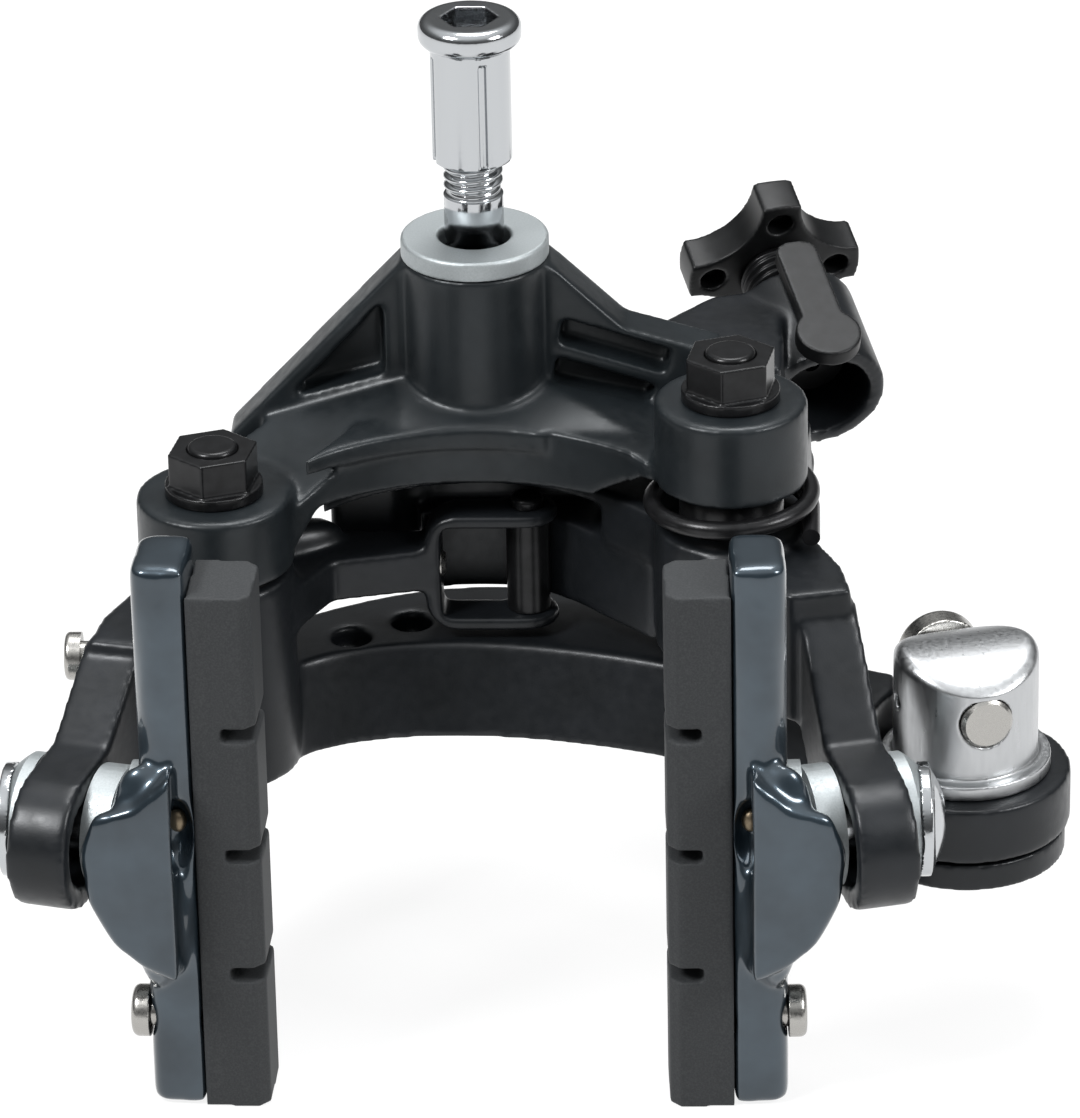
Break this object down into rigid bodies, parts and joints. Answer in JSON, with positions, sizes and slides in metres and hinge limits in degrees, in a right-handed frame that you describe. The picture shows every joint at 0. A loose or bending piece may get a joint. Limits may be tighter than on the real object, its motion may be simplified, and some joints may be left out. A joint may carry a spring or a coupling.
{
  "type": "rim brake caliper",
  "caption": "Dual-pivot rim brake caliper that hangs from a central bolt and squeezes a wheel rim between rubber shoes on linked arms.",
  "frame": {"origin": "centre of the mounting washer's rear face, on the mounting bolt's axis", "axes": "+Z out of the back along the mounting bolt, +X towards the cable side, +Y away from the tyre; the shoes hang towards -Y"},
  "size_m": [0.1061, 0.0938, 0.0959],
  "materials": {
    "bridge_black": "satin black anodised with a blue-grey sheen",
    "arm_black": "satin black anodised",
    "holder_blue_grey": "glossy metallic blue-grey",
    "chrome": "polished",
    "washer_grey": "matte light grey",
    "black_oxide": "black oxide, satin",
    "spring_black": "blackened spring steel",
    "bronze": "plain bronze",
    "stainless": "stainless steel",
    "black_plastic": "moulded black, semi-gloss",
    "satin_aluminium": "satin silver",
    "pad_rubber": "dark grey brake-pad rubber"
  },
  "bodies": {
    "bridge": {"bridge": "bridge_black", "mounting_bolt": "chrome", "mounting_washer": "washer_grey", "pivot_stud_left": "black_oxide", "pivot_stud_right": "black_oxide", "pivot_nuts": "black_oxide", "return_spring": "spring_black", "thrust_washer": "bronze", "spring_spacer": "black_oxide"},
    "long_arm": {"long_arm": "arm_black", "pivot_bush_left": "bronze", "roller_pin": "black_oxide"},
    "short_arm": {"short_arm": "arm_black", "pivot_bush_right": "bronze", "adjuster_clip": "black_plastic"},
    "link_roller": {"link_roller": "black_oxide"},
    "centring_screw": {"centring_screw": "stainless"},
    "tension_screw": {"tension_screw": "stainless"},
    "adjuster_sleeve": {"adjuster_sleeve": "black_oxide"},
    "adjuster_knob": {"adjuster_knob": "black_plastic"},
    "cable_release": {"cable_anchor": "satin_aluminium", "clamp_seat": "stainless", "release_lever": "arm_black", "release_screw": "black_oxide"},
    "clamp_bolt": {"clamp_bolt": "stainless"},
    "sunken_nut": {"sunken_nut": "chrome"},
    "seat_washers_left": {"seat_washers_left": "washer_grey"},
    "shoe_bolt_left": {"shoe_bolt_left": "chrome", "cup_washer_left": "washer_grey"},
    "shoe_left": {"holder_left": "holder_blue_grey", "pad_left": "pad_rubber", "pad_screw_left": "stainless"},
    "seat_washers_right": {"seat_washers_right": "washer_grey"},
    "shoe_bolt_right": {"shoe_bolt_right": "chrome", "cup_washer_right": "washer_grey"},
    "shoe_right": {"holder_right": "holder_blue_grey", "pad_right": "pad_rubber", "pad_screw_right": "stainless"}
  },
  "joints": [
    {"name": "long_arm_swing", "type": "hinge", "parent": "bridge", "child": "long_arm", "pos_m": [-0.0257, -0.016, -0.04], "axis": [0, 0, 1], "range_deg": [0, 18], "stiffness_Nm_per_rad": 0.5, "springref_deg": -28.65},
    {"name": "short_arm_swing", "type": "hinge", "parent": "bridge", "child": "short_arm", "pos_m": [0.0257, -0.016, -0.03], "axis": [0, 0, 1], "range_deg": [-18, 0]},
    {"name": "link_roller_spin", "type": "hinge", "parent": "long_arm", "child": "link_roller", "pos_m": [0.0049, -0.005, -0.034], "axis": [0, 0, 1], "continuous": true},
    {"name": "centring_screw_turn", "type": "hinge", "parent": "long_arm", "child": "centring_screw", "pos_m": [-0.0386, -0.026, -0.034], "axis": [1, 0, 0], "range_deg": [-180, 180]},
    {"name": "tension_screw_turn", "type": "hinge", "parent": "long_arm", "child": "tension_screw", "pos_m": [-0.013, -0.0064, -0.0335], "axis": [1, 0, 0], "range_deg": [-180, 180]},
    {"name": "adjuster_travel", "type": "slide", "parent": "short_arm", "child": "adjuster_sleeve", "axis": [-0.2702, 0.9007, 0.3403], "range_m": [0, 0.004]},
    {"name": "adjuster_turn", "type": "hinge", "parent": "adjuster_sleeve", "child": "adjuster_knob", "pos_m": [0.02922, 0.03527, -0.01852], "axis": [-0.2702, 0.9007, 0.3403], "range_deg": [0, 1440]},
    {"name": "release_turn", "type": "hinge", "parent": "long_arm", "child": "cable_release", "pos_m": [0.0489, -0.0246, -0.05], "axis": [0, 0, 1], "range_deg": [-85, 0]},
    {"name": "clamp_bolt_turn", "type": "hinge", "parent": "cable_release", "child": "clamp_bolt", "pos_m": [0.0489, -0.0246, -0.0388], "axis": [-0.2756, 0.9613, 0], "continuous": true},
    {"name": "nut_unscrew", "type": "slide", "parent": "bridge", "child": "sunken_nut", "axis": [0, 0, 1], "range_m": [0, 0.02]},
    {"name": "shoe_height_left", "type": "slide", "parent": "long_arm", "child": "seat_washers_left", "axis": [0.2588, 0.9659, 0], "range_m": [-0.004, 0.0015]},
    {"name": "shoe_tilt_left", "type": "hinge", "parent": "seat_washers_left", "child": "shoe_bolt_left", "pos_m": [-0.03857, -0.042, -0.0438], "axis": [0, 0, 1], "range_deg": [-3, 3]},
    {"name": "shoe_turn_left", "type": "hinge", "parent": "shoe_bolt_left", "child": "shoe_left", "pos_m": [-0.03857, -0.042, -0.0438], "axis": [-0.9986, 0.0523, 0], "range_deg": [-3, 3]},
    {"name": "shoe_height_right", "type": "slide", "parent": "short_arm", "child": "seat_washers_right", "axis": [-0.2588, 0.9659, 0], "range_m": [-0.004, 0.0015]},
    {"name": "shoe_tilt_right", "type": "hinge", "parent": "seat_washers_right", "child": "shoe_bolt_right", "pos_m": [0.03857, -0.042, -0.0438], "axis": [0, 0, 1], "range_deg": [-3, 3]},
    {"name": "shoe_turn_right", "type": "hinge", "parent": "shoe_bolt_right", "child": "shoe_right", "pos_m": [0.03857, -0.042, -0.0438], "axis": [0.9986, 0.0523, 0], "range_deg": [-3, 3]}
  ],
  "couplings": [
    {"joint": "short_arm_swing", "follows": "long_arm_swing", "ratio": -1},
    {"joint": "adjuster_turn", "follows": "adjuster_travel", "rad_per_m": 6283.2}
  ]
}
